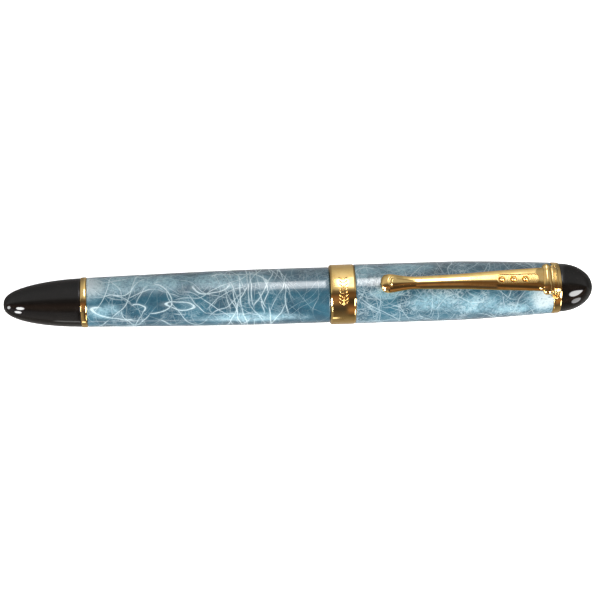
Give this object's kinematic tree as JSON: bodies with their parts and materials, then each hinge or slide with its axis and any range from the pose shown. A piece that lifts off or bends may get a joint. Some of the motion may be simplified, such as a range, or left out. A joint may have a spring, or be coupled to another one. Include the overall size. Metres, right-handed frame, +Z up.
{
  "type": "fountain pen",
  "caption": "Fountain pen with a push-fit cap, sprung pocket clip, screw-off barrel, steel nib and a piston converter inside.",
  "frame": {"origin": "under the middle of the pen's length, on the surface that the cap band rests on", "axes": "+X along the pen from the tail to the cap's crown, +Z up through the clip, +Y across"},
  "size_m": [0.143, 0.0146, 0.0175],
  "materials": {
    "blue_lacquer": "high-gloss clear lacquer over marbled blue, grey and white",
    "black_resin": "glossy black moulded resin",
    "gold_plate": "polished gold plate on brass",
    "turned_brass": "plain turned brass",
    "nib_plate": "steel with a gold-plated face and a bright steel inlay",
    "clear_plastic": "clear moulded plastic",
    "inner_plastic": "satin black moulded plastic",
    "seal_rubber": "satin black rubber"
  },
  "bodies": {
    "section": {"grip": "black_resin", "section_collar": "turned_brass", "grip_ring": "gold_plate", "nib_housing": "inner_plastic", "feed": "inner_plastic", "nib": "nib_plate", "nib_pellet": "nib_plate"},
    "loose_ring": {"centre_ring": "gold_plate"},
    "seal": {"mouth_seal": "seal_rubber"},
    "barrel": {"barrel_tube": "blue_lacquer", "barrel_bush": "turned_brass", "tail_ring": "gold_plate", "tail_cone": "black_resin"},
    "cap": {"cap_tube": "blue_lacquer", "cap_band": "gold_plate", "cap_clutch": "turned_brass", "inner_cap": "inner_plastic", "clip_ring": "gold_plate", "crown": "black_resin", "finial_stud": "turned_brass"},
    "clip": {"clip": "gold_plate"},
    "converter": {"converter_tube": "clear_plastic", "converter_collar": "gold_plate"},
    "knob": {"converter_knob": "inner_plastic", "drive_nut": "turned_brass"},
    "piston": {"plunger_rod": "inner_plastic", "piston_head": "inner_plastic", "piston_seal": "seal_rubber"}
  },
  "joints": [
    {"name": "barrel_advance", "type": "slide", "parent": "section", "child": "loose_ring", "axis": [-1, 0, 0], "range_m": [0, 0.008]},
    {"name": "barrel_turn", "type": "hinge", "parent": "loose_ring", "child": "seal", "pos_m": [0, 0, 0.00728], "axis": [-1, 0, 0], "range_deg": [0, 2880]},
    {"name": "barrel_draw", "type": "slide", "parent": "seal", "child": "barrel", "axis": [-1, 0, 0], "range_m": [0, 0.054]},
    {"name": "cap_pull", "type": "slide", "parent": "section", "child": "cap", "axis": [1, 0, 0], "range_m": [0, 0.055]},
    {"name": "clip_flex", "type": "hinge", "parent": "cap", "child": "clip", "pos_m": [0.0604, 0, 0.01468], "axis": [0, 1, 0], "range_deg": [0, 4], "stiffness_Nm_per_rad": 1.5, "springref_deg": -1.15},
    {"name": "converter_pull", "type": "slide", "parent": "section", "child": "converter", "axis": [-1, 0, 0], "range_m": [0, 0.0083]},
    {"name": "knob_turn", "type": "hinge", "parent": "converter", "child": "knob", "pos_m": [0, 0, 0.00728], "axis": [1, 0, 0], "range_deg": [0, 1935]},
    {"name": "piston_travel", "type": "slide", "parent": "converter", "child": "piston", "axis": [-1, 0, 0], "range_m": [0, 0.0215]}
  ],
  "couplings": [
    {"joint": "barrel_turn", "follows": "barrel_advance", "rad_per_m": 6283.1},
    {"joint": "knob_turn", "follows": "piston_travel", "rad_per_m": 1570.7}
  ]
}
